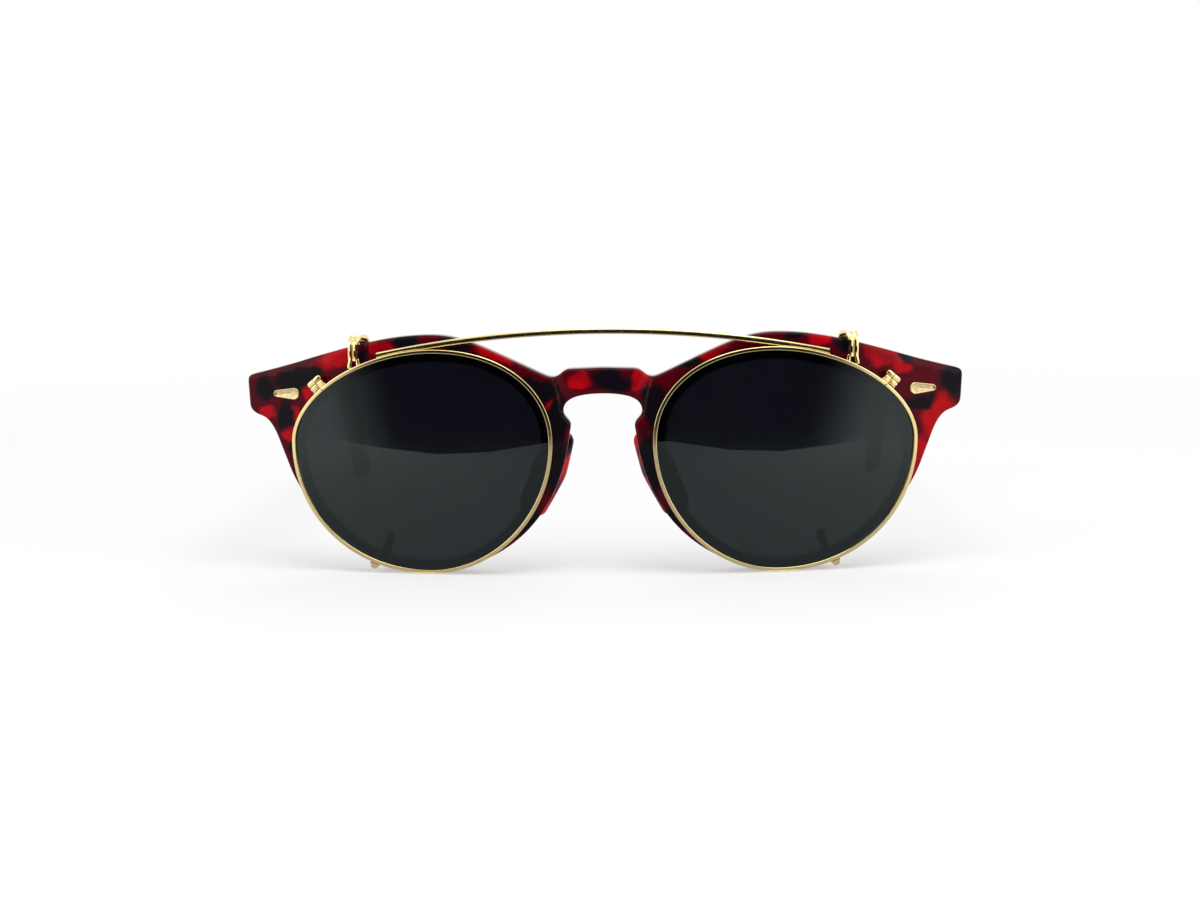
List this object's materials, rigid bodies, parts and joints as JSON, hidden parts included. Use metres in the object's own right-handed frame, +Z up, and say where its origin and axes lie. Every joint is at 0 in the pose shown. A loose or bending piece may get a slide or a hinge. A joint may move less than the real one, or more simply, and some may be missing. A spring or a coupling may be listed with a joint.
{
  "type": "clip-on sunglasses on spectacles",
  "caption": "Round tortoise acetate spectacles with folding temples and a gold metal sun clip that hooks over the front and pulls off.",
  "frame": {"origin": "on the table plane under the middle of the open spectacles' box: the sun clip's rims and the temples' ends stand on z = 0", "axes": "+X to the wearer's left, the front faces -Y and the temples run back along +Y, +Z up"},
  "size_m": [0.142, 0.155, 0.0478],
  "materials": {
    "tortoise_acetate": "polished red and black tortoise acetate",
    "clear_lens": "clear, polished",
    "sun_lens": "dark grey-green, polished",
    "gold_metal": "polished pale gold plating",
    "plaque_metal": "satin pale gold plating",
    "hinge_steel": "bright nickel silver",
    "core_wire": "drawn nickel silver wire",
    "sleeve": "soft dark vinyl"
  },
  "bodies": {
    "front": {"front": "tortoise_acetate", "nose_pad_left": "tortoise_acetate", "nose_pad_right": "tortoise_acetate", "demo_lens_left": "clear_lens", "demo_lens_right": "clear_lens", "front_plaque_left": "plaque_metal", "front_plaque_right": "plaque_metal", "front_hinge_left": "hinge_steel", "front_hinge_right": "hinge_steel", "hinge_screw_left": "hinge_steel", "hinge_screw_right": "hinge_steel"},
    "temple_left": {"temple_left": "tortoise_acetate", "temple_core_left": "core_wire", "temple_hinge_left": "hinge_steel"},
    "temple_right": {"temple_right": "tortoise_acetate", "temple_core_right": "core_wire", "temple_hinge_right": "hinge_steel"},
    "sun_clip": {"clip_rim_left": "gold_metal", "clip_rim_right": "gold_metal", "clip_lens_left": "sun_lens", "clip_lens_right": "sun_lens", "brow_bar": "gold_metal", "top_hook_left": "gold_metal", "top_hook_right": "gold_metal", "top_sleeve_left": "sleeve", "top_sleeve_right": "sleeve", "bottom_claw_left": "gold_metal", "bottom_claw_right": "gold_metal", "bottom_sleeve_left": "sleeve", "bottom_sleeve_right": "sleeve", "rim_lock_left": "gold_metal", "rim_lock_right": "gold_metal", "rim_lock_screw_left": "gold_metal", "rim_lock_screw_right": "gold_metal"}
  },
  "joints": [
    {"name": "temple_left_fold", "type": "hinge", "parent": "front", "child": "temple_left", "pos_m": [0.0652, -0.05856, 0.03435], "axis": [0, 0, 1], "range_deg": [0, 90]},
    {"name": "temple_right_fold", "type": "hinge", "parent": "front", "child": "temple_right", "pos_m": [-0.0652, -0.05856, 0.03435], "axis": [0, 0, -1], "range_deg": [0, 80]},
    {"name": "clip_release", "type": "slide", "parent": "front", "child": "sun_clip", "axis": [0, -1, 0], "range_m": [0, 0.03], "deforming": ["top_hook_left", "top_hook_right", "top_sleeve_left", "top_sleeve_right", "bottom_claw_left", "bottom_claw_right", "bottom_sleeve_left", "bottom_sleeve_right"]}
  ]
}
